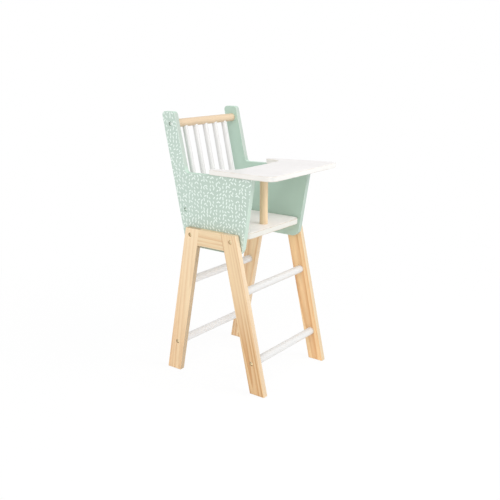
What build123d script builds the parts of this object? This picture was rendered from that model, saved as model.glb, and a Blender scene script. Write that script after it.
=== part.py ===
from build123d import *
import os
from math import atan2, degrees

# A doll high chair, in millimetres. The origin is on the floor, under the middle of the chair.
# X runs across the chair, +Y points to its back and +Z up. Its right side is at -X.
# Each side piece is drawn for the left side, and the right one is its mirror image.

# Seat box: two side panels with a leg frame screwed to the outside of each
inner_width = 204.0
panel_thickness = 11.5
leg_thickness = 13.0

# Leg frames, with reaches measured from the middle of the chair
foot_rear_reach = 142.8
foot_front_reach = 134.7
leg_width = 38.4
frame_height = 345.0
frame_top_rear_reach = 79.3
frame_top_front_reach = 56.5
crosspiece_height = 36.5
leg_edge_round = 1.4

# Dowels that join each crosspiece to its legs
dowel_radius = 3.0
dowel_length = 24.0
dowel_end_gap = 1.0
dowel_bevel = 0.6
dowel_height_shares = (0.28, 0.72)

# Side panels, whose arms rise a little from the uprights to the front
overall_height = 590.0
panel_bottom = 300.2
arm_height = 462.2
arm_rise = 4.1
panel_rear_bottom_reach = 89.7
panel_rear_top_reach = 154.0
upright_top_width = 36.8
upright_foot_width = 38.2
arm_reach = 91.3
panel_front_bottom_reach = 64.9
panel_corner_round = 8.0
panel_front_corner_round = 20.0
upright_foot_round = 7.0
panel_edge_round = 1.2

# Seat board and the two rails under it, which take the frame screws
seat_underside = 333.5
seat_thickness = 13.0
seat_side_gap = 0.3
seat_rear_inset = 8.0
seat_corner_round = 18.0
seat_edge_round = 2.0
seat_rail_height = 9.0
seat_rail_width = 14.0
seat_rail_edge_round = 0.8
front_seat_rail_y = -43.0
rear_seat_rail_y = 67.2
frame_screw_drop = 3.5

# Back: two round rails with five round slats between them
back_rail_radius = 9.0
back_rail_socket_depth = 5.0
top_rail_drop = 26.0
top_rail_inset = 19.2
lower_rail_height = 381.0
lower_rail_inset = 17.5
slat_count = 5
slat_radius = 6.0
slat_tenon_radius = 4.0
slat_tenon_length = 9.0
slat_tenon_end_gap = 1.0

# Rungs between the two leg frames
rung_radius = 8.8
rung_socket_depth = 6.0
lower_rung_height = 70.0
upper_rung_height = 219.0
rod_end_bevel = 0.8

# Lift-off tray, which lies along the sloping arms, with its post and its two locating pegs
tray_thickness = 11.0
tray_front_reach = 151.9
tray_front_half_width = 129.0
tray_rear_reach = 25.2
tray_ear_width = 17.5
tray_cutout_half_width = 88.0
tray_cutout_reach = 27.0
tray_front_round = 17.5
tray_cutout_round = 30.0
tray_ear_round = 7.0
tray_edge_round = 2.0
post_y = -39.4
post_radius = 9.0
post_tenon_radius = 5.0
post_tenon_length = 6.0
post_socket_depth = 4.0
peg_radius = 3.0
peg_depth_in_tray = 6.0
peg_depth_in_arm = 9.0
peg_y = -26.5
lift_clearance = 0.3

# Screws: button heads with a hex socket, sunk in wells, and small countersunk ones under the seat
screw_radius = 2.0
screw_hole_clearance = 0.3
screw_tip_bevel = 1.2
screw_head_radius = 4.3
screw_head_height = 2.0
screw_well_depth = 3.5
screw_dome_share = 0.8
screw_socket_radius = 2.2
screw_socket_depth = 1.4
frame_screw_length = 45.0
rod_screw_length = 30.0
seat_screw_radius = 1.75
seat_screw_head_radius = 3.5
seat_screw_head_height = 2.0
seat_screw_length = 18.0
seat_screw_socket_radius = 1.2
seat_screw_socket_depth = 1.0
seat_screw_x = 50.0

overrun = 5.0

# Places worked out from the sizes above
panel_inner = inner_width / 2
panel_outer = panel_inner + panel_thickness
panel_middle = panel_inner + panel_thickness / 2
frame_outer = panel_outer + leg_thickness
frame_middle = panel_outer + leg_thickness / 2
frame_screw_seat = frame_outer - screw_well_depth
panel_screw_seat = panel_outer - screw_well_depth
shoulder_height = frame_height - crosspiece_height
seat_top = seat_underside + seat_thickness
seat_rail_middle = seat_underside - seat_rail_height / 2
frame_screw_height = seat_underside - frame_screw_drop
arm_front_height = arm_height + arm_rise
top_rail_height = overall_height - top_rail_drop
post_foot = seat_top - post_socket_depth + lift_clearance
slat_pitch = inner_width / (slat_count + 1)

side_signs = {"right": -1, "left": 1}
end_signs = {"rear": 1, "front": -1}
rung_heights = {"lower": lower_rung_height, "upper": upper_rung_height}


def between(start, stop, share):
    """The value a share of the way from start to stop."""
    return start + (stop - start) * share


def leg_outer_reach(end, height):
    """Reach of a leg's outer edge at a height; end is 1 at the rear and -1 at the front."""
    foot_reach = foot_rear_reach if end > 0 else foot_front_reach
    top_reach = frame_top_rear_reach if end > 0 else frame_top_front_reach
    return between(foot_reach, top_reach, height / frame_height)


def leg_inner_reach(end, height):
    """Reach of a leg's inner edge, which is also the joint line of the crosspiece."""
    return leg_outer_reach(end, height) - leg_width


def leg_middle_y(end, height):
    """Y of a leg's centre line at a height."""
    return end * (leg_outer_reach(end, height) + leg_inner_reach(end, height)) / 2


def panel_rear_y(height):
    """Y of the side panels' sloping rear edge at a height."""
    rise_share = (height - panel_bottom) / (overall_height - panel_bottom)
    return between(panel_rear_bottom_reach, panel_rear_top_reach, rise_share)


def panel_front_y(height):
    """Y of the side panels' front edge at a height below the arms."""
    rise_share = (height - panel_bottom) / (arm_front_height - panel_bottom)
    return -between(panel_front_bottom_reach, arm_reach, rise_share)


def arm_top(y):
    """Height of the sloping arms, and of the tray's underside, at a Y."""
    return between(arm_height, arm_front_height, (upright_foot_y - y) / arm_length)


upright_foot_y = panel_rear_y(arm_height) - upright_foot_width
arm_length = upright_foot_y + arm_reach
arm_slope = degrees(atan2(arm_rise, arm_length))
top_rail_y = panel_rear_y(top_rail_height) - top_rail_inset
lower_rail_y = panel_rear_y(lower_rail_height) - lower_rail_inset
slat_lean = degrees(atan2(top_rail_y - lower_rail_y, top_rail_height - lower_rail_height))
slat_axis_length = Vector(0, top_rail_y - lower_rail_y, top_rail_height - lower_rail_height).length
slat_places = [slat_pitch * (index + 1) - panel_inner for index in range(slat_count)]


def on_side(shape, side):
    """The shape itself on the left, or its mirror image on the right."""
    return shape if side > 0 else mirror(shape, about=Plane.YZ)


def side_board(points, radii, inner_x, thickness):
    """A board of a (Y, Z) outline on the left side, from inner_x outwards."""
    outline = make_face(FilletPolyline(*points, radius=radii, close=True))
    return Pos(inner_x, 0, 0) * extrude(Plane.YZ * outline, thickness)


def rod_along_x(radius, start, stop, y, z):
    """A cylinder along X from start to stop."""
    return Pos((start + stop) / 2, y, z) * Rot(0, 90, 0) * Cylinder(radius, stop - start)


def rod_along_y(radius, length, x, y, z):
    """A cylinder along Y about a middle point."""
    return Pos(x, y, z) * Rot(90, 0, 0) * Cylinder(radius, length)


def rod_along_z(radius, x, y, start, stop):
    """A cylinder along Z from start to stop."""
    return Pos(x, y, (start + stop) / 2) * Cylinder(radius, stop - start)


def bevel_ends(rod, axis, size):
    """Bevel both end rims of a rod that lies along an axis."""
    rims = rod.edges().group_by(axis)
    return chamfer(rims[0] + rims[-1], size)


def dowel_places():
    """Y and Z of each dowel's middle in one leg frame, on the joint lines."""
    places = []
    for end in end_signs.values():
        for share in dowel_height_shares:
            height = shoulder_height + crosspiece_height * share
            places.append((end * leg_inner_reach(end, height), height))
    return places


def dowel_holes():
    """Cutters for the dowels of the left frame."""
    length = dowel_length + 2 * dowel_end_gap
    return [rod_along_y(dowel_radius, length, frame_middle, y, z) for y, z in dowel_places()]


def screw_hole(start, stop, y, z):
    """A cutter that lets a screw's shank pass along X."""
    return rod_along_x(screw_radius + screw_hole_clearance, start, stop, y, z)


def sunk_screw_hole(start, surface, y, z):
    """A screw hole that opens into a well for the head at the outer surface."""
    well_radius = screw_head_radius + screw_hole_clearance
    well = rod_along_x(well_radius, surface - screw_well_depth, surface + overrun, y, z)
    return screw_hole(start, surface, y, z) + well


def seat_rail_y(end):
    """Y of the seat rail, and of the frame screws, at one end."""
    return rear_seat_rail_y if end > 0 else front_seat_rail_y


def leg(end):
    """A left leg: a sloping plank with two rung sockets, screw holes and dowel holes."""
    points = [
        (end * leg_outer_reach(end, 0), 0),
        (end * leg_outer_reach(end, frame_height), frame_height),
        (end * leg_inner_reach(end, frame_height), frame_height),
        (end * leg_inner_reach(end, 0), 0),
    ]
    plank = side_board(points, 0, panel_outer, leg_thickness)
    plank = fillet(plank.edges(), leg_edge_round)
    for height in rung_heights.values():
        socket_floor = panel_outer + rung_socket_depth
        plank -= rod_along_x(rung_radius, panel_outer - overrun, socket_floor, leg_middle_y(end, height), height)
    plank -= sunk_screw_hole(panel_outer, frame_outer, leg_middle_y(end, lower_rung_height), lower_rung_height)
    plank -= sunk_screw_hole(panel_outer - overrun, frame_outer, seat_rail_y(end), frame_screw_height)
    for hole in dowel_holes():
        plank -= hole
    return plank


def crosspiece():
    """The left crosspiece, between the tops of the legs, with its dowel holes."""
    points = []
    for end, heights in ((1, (shoulder_height, frame_height)), (-1, (frame_height, shoulder_height))):
        points += [(end * leg_inner_reach(end, height), height) for height in heights]
    board = side_board(points, 0, panel_outer, leg_thickness)
    long_edges = board.edges().filter_by(Axis.Y)
    board = fillet(long_edges, leg_edge_round)
    for hole in dowel_holes():
        board -= hole
    return board


def frame_joint_dowels():
    """All dowels of both leg frames."""
    dowels = []
    for side in side_signs.values():
        for y, z in dowel_places():
            dowel = rod_along_y(dowel_radius, dowel_length, frame_middle, y, z)
            dowels.append(on_side(bevel_ends(dowel, Axis.Y, dowel_bevel), side))
    return dowels


def side_panel():
    """The left side panel: seat side, armrest and back upright in one board."""
    points = [
        (panel_rear_bottom_reach, panel_bottom),
        (panel_rear_top_reach, overall_height),
        (panel_rear_top_reach - upright_top_width, overall_height),
        (upright_foot_y, arm_height),
        (-arm_reach, arm_front_height),
        (-panel_front_bottom_reach, panel_bottom),
    ]
    radii = [panel_corner_round] * len(points)
    radii[3] = upright_foot_round
    radii[4] = panel_edge_round
    radii[5] = panel_front_corner_round
    board = side_board(points, radii, panel_inner, panel_thickness)
    faces = board.faces().sort_by(Axis.X)
    board = fillet(faces[0].edges() + faces[-1].edges(), panel_edge_round)
    for y, z in ((top_rail_y, top_rail_height), (lower_rail_y, lower_rail_height)):
        socket_floor = panel_inner + back_rail_socket_depth
        board -= rod_along_x(back_rail_radius, panel_inner - overrun, socket_floor, y, z)
        board -= sunk_screw_hole(panel_inner, panel_outer, y, z)
    for end in end_signs.values():
        hole_y = seat_rail_y(end)
        board -= screw_hole(panel_inner - overrun, panel_outer + overrun, hole_y, frame_screw_height)
    peg_hole_top = arm_top(peg_y) + overrun
    peg_hole_floor = arm_top(peg_y) - peg_depth_in_arm - lift_clearance
    board -= rod_along_z(peg_radius + lift_clearance, panel_middle, peg_y, peg_hole_floor, peg_hole_top)
    return board


def seat_board():
    """The seat, with rounded front corners, a shallow socket for the post and pilot holes."""
    half_width = panel_inner - seat_side_gap
    front_y = panel_front_y(seat_underside + seat_thickness / 2)
    rear_y = panel_rear_y(seat_underside) - seat_rear_inset
    points = [(-half_width, front_y), (half_width, front_y), (half_width, rear_y), (-half_width, rear_y)]
    radii = [seat_corner_round, seat_corner_round, seat_edge_round, seat_edge_round]
    outline = make_face(FilletPolyline(*points, radius=radii, close=True))
    board = Pos(0, 0, seat_underside) * extrude(outline, seat_thickness)
    rims = board.edges().group_by(Axis.Z)
    board = fillet(rims[0] + rims[-1], seat_edge_round)
    socket_floor = seat_top - post_socket_depth
    board -= rod_along_z(post_radius + lift_clearance, 0, post_y, socket_floor, seat_top + overrun)
    for x, y in seat_screw_places():
        board -= rod_along_z(seat_screw_radius, x, y, seat_underside - overrun, seat_screw_tip())
    return board


def seat_screw_places():
    """X and Y of the screws that hold the seat down on its rails."""
    return [(side * seat_screw_x, seat_rail_y(end)) for end in (1, -1) for side in (1, -1)]


def seat_screw_tip():
    """Height that the seat screws reach from the underside of the rails."""
    return seat_underside - seat_rail_height + seat_screw_length


def seat_rail(end):
    """A batten under the seat, from panel to panel, with pilot holes in its ends."""
    y = seat_rail_y(end)
    rail = Pos(0, y, seat_rail_middle) * Box(inner_width, seat_rail_width, seat_rail_height)
    rail = fillet(rail.edges().filter_by(Axis.X), seat_rail_edge_round)
    for side in side_signs.values():
        tip = frame_screw_seat - frame_screw_length
        rail -= on_side(rod_along_x(screw_radius, tip, panel_inner + overrun, y, frame_screw_height), side)
    for x, screw_y in seat_screw_places():
        if screw_y == y:
            rail -= Pos(x, y, seat_underside - seat_rail_height) * seat_screw_sinking()
    return rail


def seat_screw_sinking():
    """A cutter for a seat screw's countersink and clearance hole, upwards from zero."""
    hole_radius = seat_screw_radius + screw_hole_clearance
    sink = Cone(seat_screw_head_radius, seat_screw_radius, seat_screw_head_height)
    sink = Pos(0, 0, seat_screw_head_height / 2) * sink
    return sink + rod_along_z(hole_radius, 0, 0, 0, seat_rail_height + overrun)


def seat_screws():
    """Countersunk screws from below, through the rails and into the seat."""
    head = Cone(seat_screw_head_radius, seat_screw_radius, seat_screw_head_height)
    screw = Pos(0, 0, seat_screw_head_height / 2) * head
    shank = rod_along_z(seat_screw_radius, 0, 0, 0, seat_screw_length)
    screw += chamfer(shank.edges().group_by(Axis.Z)[-1], screw_tip_bevel)
    screw -= extrude(RegularPolygon(seat_screw_socket_radius, 6), seat_screw_socket_depth)
    return [Pos(x, y, seat_underside - seat_rail_height) * screw for x, y in seat_screw_places()]


def button_screw(length):
    """A screw along Z: head above zero, shank below."""
    head = rod_along_z(screw_head_radius, 0, 0, 0, screw_head_height)
    head = fillet(head.edges().group_by(Axis.Z)[-1], screw_head_height * screw_dome_share)
    shank = rod_along_z(screw_radius, 0, 0, -length, 0)
    shank = chamfer(shank.edges().group_by(Axis.Z)[0], screw_tip_bevel)
    socket = extrude(RegularPolygon(screw_socket_radius, 6), screw_socket_depth)
    return head + shank - Pos(0, 0, screw_head_height - screw_socket_depth) * socket


def screws_on_both_sides(length, seat_x, places):
    """Screws driven inwards from both sides, their heads seated at seat_x."""
    screws = []
    for side in side_signs.values():
        for y, z in places:
            screws.append(on_side(Pos(seat_x, y, z) * Rot(0, 90, 0) * button_screw(length), side))
    return screws


def back_rail(y, z, slat_side):
    """A round back rail with a mortise for each slat; slat_side is 1 above and -1 below."""
    stop = panel_inner + back_rail_socket_depth
    rail = bevel_ends(rod_along_x(back_rail_radius, -stop, stop, y, z), Axis.X, rod_end_bevel)
    mortise_length = slat_tenon_length + slat_tenon_end_gap
    for x in slat_places:
        mortise = rod_along_z(slat_tenon_radius, 0, 0, back_rail_radius - mortise_length, back_rail_radius + overrun)
        rail -= Pos(x, y, z) * Rot(-slat_lean, 0, 0) * Rot(90 - 90 * slat_side, 0, 0) * mortise
    for side in side_signs.values():
        tip = panel_screw_seat - rod_screw_length
        rail -= on_side(rod_along_x(screw_radius, tip, stop + overrun, y, z), side)
    return rail


def back_slat(x):
    """A slat whose shoulders fit round both rails, with a tenon at each end."""
    slat = rod_along_z(slat_radius, 0, 0, 0, slat_axis_length)
    for height in (0, slat_axis_length):
        slat -= rod_along_x(back_rail_radius, -slat_radius - overrun, slat_radius + overrun, 0, height)
    tenon_start = back_rail_radius - slat_tenon_length
    slat += rod_along_z(slat_tenon_radius, 0, 0, tenon_start, slat_axis_length - tenon_start)
    return Pos(x, lower_rail_y, lower_rail_height) * Rot(-slat_lean, 0, 0) * slat


def rung(end, height):
    """A round rung whose ends sit in the legs; the lower ones take a screw at each end."""
    stop = panel_outer + rung_socket_depth
    y = leg_middle_y(end, height)
    rod = bevel_ends(rod_along_x(rung_radius, -stop, stop, y, height), Axis.X, rod_end_bevel)
    if height == lower_rung_height:
        for side in side_signs.values():
            tip = frame_screw_seat - rod_screw_length
            rod -= on_side(rod_along_x(screw_radius, tip, stop + overrun, y, height), side)
    return rod


def tray_blank():
    """The tray without holes: flared sides, rounded front corners and a body cutout at the rear."""
    left_half = [
        (tray_front_half_width, -tray_front_reach),
        (panel_outer, tray_rear_reach),
        (panel_outer - tray_ear_width, tray_rear_reach),
        (tray_cutout_half_width, -tray_cutout_reach),
    ]
    half_radii = [tray_front_round, tray_ear_round, tray_ear_round, tray_cutout_round]
    right_half = [(-x, y) for x, y in reversed(left_half)]
    radii = half_radii + half_radii[::-1]
    outline = make_face(FilletPolyline(*left_half, *right_half, radius=radii, close=True))
    board = extrude(outline, tray_thickness)
    rims = board.edges().group_by(Axis.Z)
    board = fillet(rims[0] + rims[-1], tray_edge_round)
    return Pos(0, 0, arm_top(0)) * Rot(-arm_slope, 0, 0) * board


def post_tenon():
    """The tenon at the post's top, which starts inside the post."""
    start = arm_top(post_y) - overrun
    return rod_along_z(post_tenon_radius, 0, post_y, start, arm_top(post_y) + post_tenon_length)


def tray_board():
    """The tray, with a mortise for the post's tenon and a hole for each peg."""
    board = tray_blank() - post_tenon()
    for side in side_signs.values():
        x = side * panel_middle
        peg_hole_floor = arm_top(peg_y) - overrun
        board -= rod_along_z(peg_radius, x, peg_y, peg_hole_floor, arm_top(peg_y) + peg_depth_in_tray)
    return board


def tray_post():
    """The post under the tray, with a tenon into the tray and its foot in the seat's socket."""
    post = rod_along_z(post_radius, 0, post_y, post_foot, arm_top(post_y) + overrun)
    post = chamfer(post.edges().group_by(Axis.Z)[0], rod_end_bevel)
    return post - tray_blank() + post_tenon()


def tray_pegs():
    """The pegs that stop the tray sliding about on the arms."""
    pegs = []
    for side in side_signs.values():
        foot = arm_top(peg_y) - peg_depth_in_arm
        peg = rod_along_z(peg_radius, side * panel_middle, peg_y, foot, arm_top(peg_y) + peg_depth_in_tray)
        pegs.append(bevel_ends(peg, Axis.Z, dowel_bevel))
    return pegs


def build_nodes():
    """Every node by name; a node of several like pieces holds a list."""
    nodes = {}
    for side_name, side in side_signs.items():
        for end_name, end in end_signs.items():
            nodes[f"{side_name}_{end_name}_leg"] = on_side(leg(end), side)
        nodes[f"{side_name}_crosspiece"] = on_side(crosspiece(), side)
        nodes[f"{side_name}_side_panel"] = on_side(side_panel(), side)
    nodes["frame_joint_dowels"] = frame_joint_dowels()
    nodes["seat_board"] = seat_board()
    for end_name, end in end_signs.items():
        nodes[f"{end_name}_seat_rail"] = seat_rail(end)
    nodes["seat_screws"] = seat_screws()
    nodes["top_back_rail"] = back_rail(top_rail_y, top_rail_height, -1)
    nodes["lower_back_rail"] = back_rail(lower_rail_y, lower_rail_height, 1)
    for index, x in enumerate(slat_places):
        nodes[f"back_slat_{index + 1}"] = back_slat(x)
    for end_name, end in end_signs.items():
        for level_name, height in rung_heights.items():
            nodes[f"{end_name}_{level_name}_rung"] = rung(end, height)
    frame_screw_places = [(seat_rail_y(end), frame_screw_height) for end in end_signs.values()]
    rung_screw_places = [(leg_middle_y(end, lower_rung_height), lower_rung_height) for end in end_signs.values()]
    back_screw_places = [(top_rail_y, top_rail_height), (lower_rail_y, lower_rail_height)]
    nodes["frame_screws"] = screws_on_both_sides(frame_screw_length, frame_screw_seat, frame_screw_places)
    nodes["rung_screws"] = screws_on_both_sides(rod_screw_length, frame_screw_seat, rung_screw_places)
    nodes["back_rail_screws"] = screws_on_both_sides(rod_screw_length, panel_screw_seat, back_screw_places)
    nodes["tray_board"] = tray_board()
    nodes["tray_post"] = tray_post()
    nodes["tray_pegs"] = tray_pegs()
    return nodes


os.makedirs("parts", exist_ok=True)
for node_name, shape in build_nodes().items():
    if isinstance(shape, list):
        shape = Compound([piece.solid() for piece in shape])
    export_step(shape, f"parts/{node_name}.step")
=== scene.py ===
import math
import bpy
from mathutils import Matrix, Vector


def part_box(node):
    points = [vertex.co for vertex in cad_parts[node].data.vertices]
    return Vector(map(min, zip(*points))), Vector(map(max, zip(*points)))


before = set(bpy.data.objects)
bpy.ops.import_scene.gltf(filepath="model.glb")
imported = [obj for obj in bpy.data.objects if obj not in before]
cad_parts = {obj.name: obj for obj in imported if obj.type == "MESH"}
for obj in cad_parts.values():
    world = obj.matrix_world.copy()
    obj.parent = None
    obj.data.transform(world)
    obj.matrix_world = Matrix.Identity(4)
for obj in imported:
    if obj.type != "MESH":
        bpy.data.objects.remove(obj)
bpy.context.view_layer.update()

# Metres, in the frame of the chair: its right side is at -X, its back at +Y, and Z is up.

# Camera
camera_place = Vector((-1.26096, -0.93207, 0.71086))
camera_yaw = math.radians(53.59)
camera_pitch = math.radians(-15.4)
camera_roll = math.radians(0.27)
camera_lens_mm = 51.39
camera_sensor_mm = 36.0

# Leg frames
leg_width = 0.0384
front_foot_reach = 0.1347
front_leg_lean = 0.2267
frame_height = 0.345
crosspiece_height = 0.0365
crosspiece_middle_y = 0.0106
crosspiece_half_length = 0.038

# Side panels
arm_tone_start = 0.470
arm_tone_end = 0.478
print_lit_front_y = 0.02
print_lit_rear_y = 0.10

# Painted shade along the leg frame
frame_shade_core = 0.0010
frame_shade_reach = 0.0024
frame_shade_top_fade = 0.001
frame_shade_end_fade = 0.002
frame_shade_drop_start = 0.010
frame_shade_drop_end = 0.002

# Floor and lamps
floor_half = 6.0
floor_fade_start = 0.35
floor_fade_end = 1.1
floor_glow = 0.92
world_strength = 0.80
chair_middle = (0.0, 0.0, 0.30)

# Paints and woods, as sRGB colours from 0 to 255
TRAY_WHITE = (229, 226, 225)
# The tray's front is painted darker, as painted shade, and its sides lighter, as painted light
TRAY_FRONT_SHADED = (222, 221, 218)
TRAY_SIDE_LIT = (238, 235, 230)
ROD_WHITE = (222, 221, 220)
# One white paint: the front rungs are painted darker as painted shade, the rear rungs lighter as painted
# light
FRONT_RUNG_SHADED_WHITE = (215, 215, 214)
REAR_RUNG_LIT_WHITE = (225, 225, 225)
# The seat's white is painted lighter than the tray's, as painted light in the tray's shade, and its front
# darker, as painted shade
SEAT_LIT_WHITE = (255, 248, 246)
SEAT_FRONT_SHADED = (215, 214, 207)
WHITE_WORN = (198, 178, 148)
PAINT_GREEN = (186, 211, 196)
PAINT_GREEN_WORN = (226, 233, 224)
PRINT_GROUND = (187, 205, 193)
PRINT_LIT = (192, 210, 199)
PRINT_DASH = (231, 243, 236)
PALE_PINE = ((245, 221, 180), (217, 170, 120), (239, 203, 161))
GOLDEN_PINE = ((234, 204, 157), (200, 147, 93), (225, 187, 139))
ORANGE_PINE = ((251, 218, 169), (208, 139, 76), (246, 205, 153))
PLAIN_PINE = ((247, 219, 177), (217, 165, 112), (241, 204, 161))
CROSS_PINE = ((240, 217, 178), (216, 170, 122), (234, 204, 164))
POST_BEECH = ((240, 215, 177), (216, 184, 141), (236, 206, 166))
RAIL_BEECH = ((222, 201, 173), (197, 168, 132), (216, 191, 160))
# Narrow-side tones of the legs, partly the wood's own and partly painted light and shade; the darkest is a
# painted shadow cast by the front leg
PALE_LIT_EDGE = (218, 198, 170)
SHADED_EDGE = (174, 153, 124)
TAN_EDGE = (202, 190, 163)
# Painted shade on the side panels' outside along the leg frame
LEG_FRAME_SHADE = (120, 118, 92)
TOP_PALE_PINE = (250, 230, 196)
EDGE_GREEN = (187, 206, 193)
# The far panel's front sides and the uprights' front sides are painted darker, as painted shade
FAR_EDGE_SHADED_GREEN = (171, 189, 178)
UPRIGHT_SHADED_GREEN = (180, 192, 183)
ZINC = (247, 231, 196)
PALE_ZINC = (240, 248, 241)


def linear(colour):
    """A linear RGBA colour from sRGB values of 0 to 255."""
    def channel(value):
        share = value / 255
        return share / 12.92 if share <= 0.04045 else ((share + 0.055) / 1.055) ** 2.4
    return (*[channel(value) for value in colour], 1.0)


class Graph:
    """The node tree of one material, with short calls for the nodes that repeat."""

    def __init__(self, name):
        self.material = bpy.data.materials.new(name)
        self.material.use_nodes = True
        self.tree = self.material.node_tree
        self.shader = self.tree.nodes["Principled BSDF"]

    def plug(self, value, socket):
        if isinstance(value, bpy.types.NodeSocket):
            self.tree.links.new(value, socket)
        elif value is not None:
            socket.default_value = value

    def node(self, kind, inputs, **settings):
        made = self.tree.nodes.new("ShaderNode" + kind)
        for key, value in settings.items():
            setattr(made, key, value)
        for key, value in inputs.items():
            self.plug(value, made.inputs[key])
        return made

    def math(self, operation, first, second=None, third=None):
        made = self.node("Math", {0: first, 1: second, 2: third}, operation=operation)
        return made.outputs[0]

    def vector(self, operation, first, second=None):
        made = self.node("VectorMath", {0: first, 1: second}, operation=operation)
        return made.outputs["Value" if operation == "LENGTH" else "Vector"]

    def mix(self, share, first, second, blend="MIX"):
        made = self.node("Mix", {}, data_type="RGBA", blend_type=blend)
        self.plug(share, made.inputs["Factor"])
        self.plug(first, made.inputs[6])
        self.plug(second, made.inputs[7])
        return made.outputs[2]

    def span(self, value, low, high, to_low=0.0, to_high=1.0, smooth=False):
        kind = "SMOOTHSTEP" if smooth else "LINEAR"
        inputs = {0: value, 1: low, 2: high, 3: to_low, 4: to_high}
        made = self.node("MapRange", inputs, interpolation_type=kind)
        return made.outputs[0]

    def noise(self, coordinates, scale, detail=3.0, roughness=0.5, distortion=0.0):
        made = self.node("TexNoise", {
            "Vector": coordinates, "Scale": scale, "Detail": detail,
            "Roughness": roughness, "Distortion": distortion,
        })
        return made.outputs["Fac"]

    def coordinates(self):
        return self.node("TexCoord", {}).outputs["Object"]

    def normal(self):
        """The surface's own direction, in the frame of the piece."""
        return self.node("TexCoord", {}).outputs["Normal"]

    def axes(self, vector):
        made = self.node("SeparateXYZ", {0: vector})
        return made.outputs["X"], made.outputs["Y"], made.outputs["Z"]

    def combine(self, x, y, z):
        return self.node("CombineXYZ", {0: x, 1: y, 2: z}).outputs[0]

    def place(self, vector, offset=(0, 0, 0), turn=(0, 0, 0), scale=(1, 1, 1)):
        made = self.node("Mapping", {"Vector": vector, "Location": offset, "Rotation": turn, "Scale": scale})
        return made.outputs[0]

    def bump(self, height, depth):
        made = self.node("Bump", {"Height": height, "Distance": depth, "Strength": 1.0})
        self.plug(made.outputs[0], self.shader.inputs["Normal"])

    def finish(self, colour, roughness, specular=0.5):
        self.plug(colour, self.shader.inputs["Base Color"])
        self.plug(roughness, self.shader.inputs["Roughness"])
        self.shader.inputs["Specular IOR Level"].default_value = specular
        return self.material


def wood(
    name, colours, lean, seed, along="Z", pith=(0.05, 0.02),
    ring=0.0050, contrast=0.75, edge=None, pale_top=None,
):
    """Sawn wood whose rings run along the piece: lean turns the grain about X, away from upright.

    The colours are early wood, late wood and a warmer patch; edge is the tone of the narrow sides,
    partly the wood's own and partly painted light and shade, and pale_top is how much paler a leg
    is towards its top, with the heights where that starts and ends.
    """
    early, late, warm = colours
    g = Graph(name)
    quarter = math.radians(90)
    turn = {"X": (0, quarter, 0), "Y": (quarter, 0, 0), "Z": (lean, 0, 0)}[along]
    grain = g.place(g.coordinates(), turn=turn)
    own = g.place(grain, offset=(seed * 0.37, seed * 0.53, seed * 0.71))
    long = g.place(own, scale=(1, 1, 0.055))
    tilted = g.place(grain, offset=(pith[0], pith[1], 0), turn=(math.radians(1.3), math.radians(-1.1), 0))
    x, y, _ = g.axes(tilted)
    radius = g.vector("LENGTH", g.combine(x, y, 0.0))
    wobble = g.noise(long, 38.0, 2.0)
    radius = g.math("MULTIPLY_ADD", wobble, 0.010, radius)
    phase = g.math("FRACT", g.math("DIVIDE", radius, ring))
    rise = g.span(phase, 0.15, 0.86, smooth=True)
    fall = g.span(phase, 0.90, 1.0, 1.0, 0.0, smooth=True)
    line = g.math("MULTIPLY", rise, fall)
    strength = g.span(g.noise(long, 70.0, 2.0), 0.30, 0.70, 0.35, 1.0)
    line = g.math("MULTIPLY", line, strength)
    fibre = g.noise(g.place(own, scale=(1, 1, 0.018)), 1500.0, 2.0, 0.6)
    patch = g.noise(long, 26.0, 3.0)
    colour = g.mix(g.span(patch, 0.35, 0.68), linear(early), linear(warm))
    colour = g.mix(g.math("MULTIPLY", line, contrast), colour, linear(late))
    shade = g.span(fibre, 0.25, 0.75, 0.87, 1.075)
    colour = g.mix(1.0, colour, g.combine(shade, shade, shade), "MULTIPLY")
    pores = g.span(g.noise(g.place(own, scale=(1, 1, 0.05)), 900.0, 2.0), 0.66, 0.74)
    colour = g.mix(g.math("MULTIPLY", pores, 0.35), colour, linear(late))
    height = g.axes(g.coordinates())[2]
    if pale_top:
        share, start, end = pale_top
        colour = g.mix(g.span(height, start, end, 0.0, share), colour, linear(TOP_PALE_PINE))
    # The narrow sides take the leg's edge tone, partly the wood's own and partly painted light and shade
    if edge:
        flatness = g.math("ABSOLUTE", g.axes(g.normal())[0])
        narrow = g.span(flatness, 0.3, 0.8, 1.0, 0.0)
        colour = g.mix(g.math("MULTIPLY", narrow, 0.70), colour, linear(edge))
        # Near the foot the narrow sides are mixed a little towards a tan, so the edge tone with its painted
        # light and shade fades there
        foot_tan = g.math("MULTIPLY", narrow, g.span(height, 0.09, 0.25, 0.14, 0.0))
        colour = g.mix(foot_tan, colour, linear(WHITE_WORN))
    relief = g.math("MULTIPLY_ADD", fibre, 0.6, g.math("MULTIPLY", line, -0.5))
    g.bump(relief, 0.00012)
    return g.finish(colour, g.span(fibre, 0.2, 0.8, 0.42, 0.58))


def edge_share(g, thickness_axis):
    """How much a point of a board belongs to its rounded edges, from the surface's own direction."""
    direction = g.axes(g.normal())[thickness_axis]
    flatness = g.math("ABSOLUTE", direction)
    low = g.span(flatness, 0.06, 0.25, smooth=True)
    high = g.span(flatness, 0.85, 0.99, 1.0, 0.0, smooth=True)
    return g.math("MULTIPLY", low, high)


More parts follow.
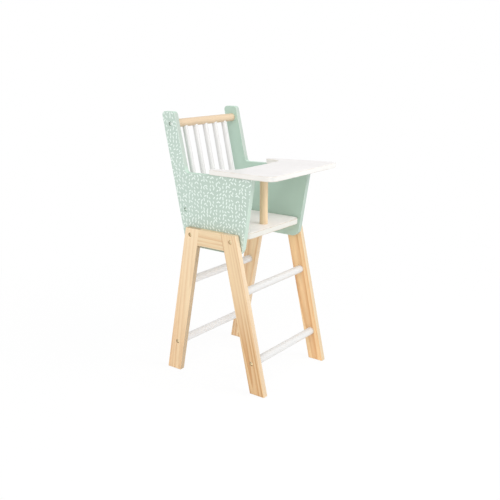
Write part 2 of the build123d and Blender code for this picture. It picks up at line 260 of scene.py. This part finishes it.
def paint_surface(g, colour, seed, edge=None, worn=None, wear=0.35, gloss=0.38):
    """Rolled satin paint over wood: slight tone changes, an orange-peel skin and edges worn thin."""
    place = g.place(g.coordinates(), offset=(seed * 0.41, seed * 0.29, seed * 0.83))
    cloud = g.noise(place, 14.0, 3.0)
    shade = g.span(cloud, 0.3, 0.7, 0.975, 1.015)
    colour = g.mix(1.0, colour, g.combine(shade, shade, shade), "MULTIPLY")
    speck = g.span(g.noise(place, 700.0, 2.0), 0.70, 0.76)
    colour = g.mix(g.math("MULTIPLY", speck, 0.10), colour, linear(WHITE_WORN))
    if edge is not None:
        patchy = g.span(g.noise(place, 90.0, 4.0), 0.38, 0.66, 0.15, 1.0)
        thin = g.math("MULTIPLY", g.math("MULTIPLY", edge, patchy), wear)
        colour = g.mix(thin, colour, linear(worn))
    peel = g.noise(place, 420.0, 2.0)
    fibre = g.noise(g.place(place, scale=(1, 1, 0.04)), 500.0, 2.0)
    g.bump(g.math("MULTIPLY_ADD", fibre, 0.5, peel), 0.00008)
    rough = g.span(g.noise(place, 60.0, 4.0), 0.3, 0.7, gloss - 0.05, gloss + 0.07)
    return g.finish(colour, rough)


def white_paint(name, white, seed):
    """White paint on a rod."""
    return paint_surface(Graph(name), linear(white), seed)


def white_board_paint(name, white, side, front, seed, wear):
    """White paint on a level board, with worn edges; its sides and front take their own tones, which are
    painted light and shade.
    """
    g = Graph(name)
    across, along, _ = g.axes(g.normal())
    colour = g.mix(g.span(g.math("ABSOLUTE", across), 0.3, 0.8, smooth=True), linear(white), linear(side))
    colour = g.mix(g.span(along, -0.3, -0.8, smooth=True), colour, linear(front))
    return paint_surface(g, colour, seed, edge_share(g, 2), WHITE_WORN, wear)


def dash_print(g, seed, cell=0.0085, half_length=0.0021, half_width=0.00132):
    """Short rounded dashes, one to a cell and each leaning its own way; 1 on a dash and 0 between."""
    _, y, z = g.axes(g.coordinates())
    flat = g.place(g.combine(y, z, 0.0), offset=(seed * 0.173, seed * 0.219, 0))
    inputs = {"Vector": flat, "Scale": 1 / cell, "Randomness": 0.6}
    cells = g.node("TexVoronoi", inputs, voronoi_dimensions="2D")
    chance_a, chance_b, _ = g.axes(cells.outputs["Color"])
    offset = g.vector("SUBTRACT", flat, cells.outputs["Position"])
    angle = g.span(chance_a, 0.0, 1.0, math.radians(20), math.radians(160))
    turned = g.node("VectorRotate", {"Vector": offset, "Angle": angle}, rotation_type="Z_AXIS").outputs[0]
    u, v, _ = g.axes(turned)
    reach = g.math("MULTIPLY", g.span(chance_b, 0.0, 1.0, 0.55, 1.25), half_length)
    beyond = g.math("MAXIMUM", g.math("SUBTRACT", g.math("ABSOLUTE", u), reach), 0.0)
    distance = g.vector("LENGTH", g.combine(beyond, v, 0.0))
    return g.span(distance, half_width * 1.3, half_width * 0.7, smooth=True)


def leg_frame_shade_share(g):
    """1 on a side panel's outside in the corners along the leg frame, where shade is painted: beside the
    front leg's outer edge and in the strip under the crosspiece.
    """
    _, y, z = g.axes(g.coordinates())
    leg_edge = g.math("MULTIPLY_ADD", z, front_leg_lean, -front_foot_reach)
    from_edge = g.math("ABSOLUTE", g.math("SUBTRACT", leg_edge, y))
    beside = g.span(from_edge, frame_shade_core, frame_shade_reach, 1.0, 0.0)
    beside = g.math("MULTIPLY", beside, g.span(z, frame_height - frame_shade_top_fade, frame_height, 1.0, 0.0))
    crosspiece_bottom = frame_height - crosspiece_height
    below = g.span(z, crosspiece_bottom - frame_shade_drop_start, crosspiece_bottom - frame_shade_drop_end, 0.55, 1.0)
    below = g.math("MULTIPLY", below, g.span(z, crosspiece_bottom, frame_height, 1.0, 0.0))
    from_middle = g.math("ABSOLUTE", g.math("SUBTRACT", y, crosspiece_middle_y))
    fade_start = crosspiece_half_length - frame_shade_end_fade
    between_legs = g.span(from_middle, fade_start, crosspiece_half_length, 1.0, 0.0)
    return g.math("MAXIMUM", beside, g.math("MULTIPLY", below, between_legs))


def green_paint(name, seed, outward, edge_green):
    """Green paint, greyer on the narrow front sides, with the pale print on the face along outward;
    edge_green is the front sides' tone below the arm, and above the arm they are painted darker as painted
    shade.
    """
    g = Graph(name)
    facing = g.math("MULTIPLY", g.axes(g.normal())[0], outward)
    printed = g.span(facing, 0.975, 0.995, smooth=True)
    towards_rear = g.span(g.axes(g.coordinates())[1], print_lit_front_y, print_lit_rear_y)
    ground = g.mix(towards_rear, linear(PRINT_GROUND), linear(PRINT_LIT))
    printed_colour = g.mix(dash_print(g, seed), ground, linear(PRINT_DASH))
    # Painted shade on the print beside the front leg and under the crosspiece
    printed_colour = g.mix(g.math("MULTIPLY", leg_frame_shade_share(g), 0.6), printed_colour, linear(LEG_FRAME_SHADE))
    front = g.span(g.axes(g.normal())[1], -0.5, -0.85, smooth=True)
    # Above the arm the narrow front sides are painted darker, as painted shade
    above_arm = g.span(g.axes(g.coordinates())[2], arm_tone_start, arm_tone_end)
    edge_colour = g.mix(above_arm, linear(edge_green), linear(UPRIGHT_SHADED_GREEN))
    plain = g.mix(front, linear(PAINT_GREEN), edge_colour)
    colour = g.mix(printed, plain, printed_colour)
    return paint_surface(g, colour, seed, edge_share(g, 0), PAINT_GREEN_WORN, 0.45, 0.42)


def plated_steel(name, plate):
    """Steel with a thin zinc plate, a little uneven."""
    g = Graph(name)
    smear = g.noise(g.coordinates(), 600.0, 3.0)
    tone = g.span(smear, 0.3, 0.7, 0.85, 1.0)
    g.shader.inputs["Metallic"].default_value = 1.0
    g.bump(smear, 0.00003)
    colour = g.mix(1.0, linear(plate), g.combine(tone, tone, tone), "MULTIPLY")
    return g.finish(colour, g.span(smear, 0.2, 0.8, 0.35, 0.5))


def dress(node, material):
    """Give a node's object its material."""
    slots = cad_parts[node].material_slots
    for slot in slots:
        slot.link = "OBJECT"
        slot.material = material


def leg_lean(node):
    """The turn about X that stands a leg's grain upright, from the leg's own box."""
    low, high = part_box(node)
    run = (high.y - low.y) - leg_width
    side = 1 if high.y > 0.1 else -1
    return -side * math.atan2(run, high.z - low.z)


# The right rear leg's darkest narrow-side tone is a painted shadow cast by the front leg; the paler ones are
# partly painted light
leg_woods = {
    "right_rear_leg": (PALE_PINE, (0.150, -0.100), 0.0062, 0.80, SHADED_EDGE, (0.5, 0.05, 0.33)),
    "right_front_leg": (GOLDEN_PINE, (0.135, 0.108), 0.0070, 1.0, PALE_LIT_EDGE, (0.36, 0.10, 0.22)),
    "left_rear_leg": (PLAIN_PINE, (-0.095, -0.112), 0.0062, 0.8, PALE_LIT_EDGE, None),
    "left_front_leg": (ORANGE_PINE, (-0.088, 0.112), 0.0080, 0.72, TAN_EDGE, None),
}
for seed, (node, (colours, pith, ring, contrast, edge, pale_top)) in enumerate(leg_woods.items()):
    lean = leg_lean(node)
    dress(node, wood(node + "_pine", colours, lean, seed + 1.3, "Z", pith, ring, contrast, edge, pale_top))
for seed, side in enumerate(("right", "left")):
    node = side + "_crosspiece"
    dress(node, wood(node + "_pine", CROSS_PINE, 0, seed + 7.1, "Y", (0.09, 0.35), 0.006, 0.6))
for seed, end in enumerate(("front", "rear")):
    node = end + "_seat_rail"
    dress(node, wood(node + "_pine", PLAIN_PINE, 0, seed + 9.7, "X", (0.30, 0.05)))
for seed, node in enumerate(("tray_post", "frame_joint_dowels", "tray_pegs")):
    dress(node, wood(node + "_beech", POST_BEECH, 0, seed + 12.9, "Z", (0.02, 0.075), 0.0035, 0.4))
dress("top_back_rail", wood("top_back_rail_beech", RAIL_BEECH, 0, 17.3, "X", (0.53, -0.16), 0.0035, 0.4))

dress("tray_board", white_board_paint("tray_paint", TRAY_WHITE, TRAY_SIDE_LIT, TRAY_FRONT_SHADED, 21.5, 0.35))
dress("seat_board", white_board_paint("seat_paint", SEAT_LIT_WHITE, SEAT_LIT_WHITE, SEAT_FRONT_SHADED, 22.5, 0.7))


def rod_white(node):
    """The white of a rung, a slat or the lower rail; the front rungs are painted darker, as painted shade,
    and the rear rungs lighter, as painted light.
    """
    if node.startswith("front"):
        return FRONT_RUNG_SHADED_WHITE
    return REAR_RUNG_LIT_WHITE if node.endswith("rung") else ROD_WHITE


white_rods = [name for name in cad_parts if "slat" in name or name.endswith("rung")]
for seed, node in enumerate(sorted(white_rods) + ["lower_back_rail"]):
    dress(node, white_paint(node + "_paint", rod_white(node), seed + 31.7))
dress("right_side_panel", green_paint("right_panel_paint", 3.0, -1.0, EDGE_GREEN))
# The left panel's front sides are painted darker, as painted shade
dress("left_side_panel", green_paint("left_panel_paint", 5.0, 1.0, FAR_EDGE_SHADED_GREEN))
yellow_steel = plated_steel("yellow_zinc_plate", ZINC)
pale_steel = plated_steel("pale_zinc_plate", PALE_ZINC)
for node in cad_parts:
    if node.endswith("screws"):
        dress(node, pale_steel if node == "back_rail_screws" else yellow_steel)


def add_camera():
    """The camera, set by its yaw, pitch and roll."""
    look = Vector((
        math.sin(camera_yaw) * math.cos(camera_pitch),
        math.cos(camera_yaw) * math.cos(camera_pitch),
        math.sin(camera_pitch),
    ))
    level = Vector((math.cos(camera_yaw), -math.sin(camera_yaw), 0))
    upward = level.cross(look)
    right = level * math.cos(camera_roll) + upward * math.sin(camera_roll)
    up = upward * math.cos(camera_roll) - level * math.sin(camera_roll)
    data = bpy.data.cameras.new("camera")
    data.lens = camera_lens_mm
    data.sensor_width = camera_sensor_mm
    camera = bpy.data.objects.new("camera", data)
    camera.matrix_world = Matrix((right, up, -look)).transposed().to_4x4()
    camera.location = camera_place
    bpy.context.scene.collection.objects.link(camera)
    bpy.context.scene.camera = camera


def add_area(name, place, size, power):
    """A square soft white lamp that faces the middle of the chair."""
    data = bpy.data.lights.new(name, "AREA")
    data.size = size
    data.energy = power
    lamp = bpy.data.objects.new(name, data)
    lamp.location = place
    lamp.rotation_euler = (Vector(chair_middle) - Vector(place)).to_track_quat("-Z", "Y").to_euler()
    bpy.context.scene.collection.objects.link(lamp)


def seen_directly(tree):
    """1 where the camera sees the surface, straight, in a mirror or through glass."""
    path = tree.nodes.new("ShaderNodeLightPath")
    total = path.outputs["Is Camera Ray"]
    for name in ("Is Glossy Ray", "Is Transmission Ray"):
        add = tree.nodes.new("ShaderNodeMath")
        add.operation = "MAXIMUM"
        tree.links.new(total, add.inputs[0])
        tree.links.new(path.outputs[name], add.inputs[1])
        total = add.outputs[0]
    return total


def add_world(strength):
    """White where it is seen, and an even pale light everywhere else."""
    world = bpy.data.worlds.new("studio")
    bpy.context.scene.world = world
    world.use_nodes = True
    tree = world.node_tree
    ground = tree.nodes["Background"]
    ground.inputs["Color"].default_value = (1, 1, 1, 1)
    level = tree.nodes.new("ShaderNodeMapRange")
    tree.links.new(seen_directly(tree), level.inputs[0])
    level.inputs[3].default_value = strength
    level.inputs[4].default_value = 1.0
    tree.links.new(level.outputs[0], ground.inputs["Strength"])


def add_floor(glow):
    """A plain white floor; glow is how much of its seen white doesn't depend on the lamps."""
    half = floor_half
    mesh = bpy.data.meshes.new("floor")
    corners = [(-half, -half, 0), (half, -half, 0), (half, half, 0), (-half, half, 0)]
    mesh.from_pydata(corners, [], [(0, 1, 2, 3)])
    floor = bpy.data.objects.new("floor", mesh)
    bpy.context.scene.collection.objects.link(floor)
    material = bpy.data.materials.new("floor_white")
    material.use_nodes = True
    tree = material.node_tree
    matt = tree.nodes.new("ShaderNodeBsdfDiffuse")
    matt.inputs["Color"].default_value = (0.93, 0.93, 0.93, 1)
    light = tree.nodes.new("ShaderNodeEmission")
    blend = tree.nodes.new("ShaderNodeMixShader")
    place = tree.nodes.new("ShaderNodeTexCoord")
    distance = tree.nodes.new("ShaderNodeVectorMath")
    distance.operation = "LENGTH"
    tree.links.new(place.outputs["Object"], distance.inputs[0])
    fade = tree.nodes.new("ShaderNodeMapRange")
    tree.links.new(distance.outputs["Value"], fade.inputs[0])
    fade.inputs[1].default_value = floor_fade_start
    fade.inputs[2].default_value = floor_fade_end
    fade.inputs[3].default_value = glow
    share = tree.nodes.new("ShaderNodeMath")
    share.operation = "MULTIPLY"
    tree.links.new(fade.outputs[0], share.inputs[1])
    tree.links.new(seen_directly(tree), share.inputs[0])
    tree.links.new(share.outputs[0], blend.inputs[0])
    tree.links.new(matt.outputs[0], blend.inputs[1])
    tree.links.new(light.outputs[0], blend.inputs[2])
    tree.links.new(blend.outputs[0], tree.nodes["Material Output"].inputs["Surface"])
    mesh.materials.append(material)


add_camera()
add_area("front_softbox", place=(0.4, -1.8, 1.5), size=1.0, power=20)
add_area("camera_side_fill", place=(-2.2, -0.8, 2.0), size=1.4, power=17)
add_area("top_softbox", place=(0.0, -0.3, 2.6), size=2.0, power=2)
add_world(world_strength)
add_floor(floor_glow)

bpy.context.scene.view_settings.view_transform = "Standard"
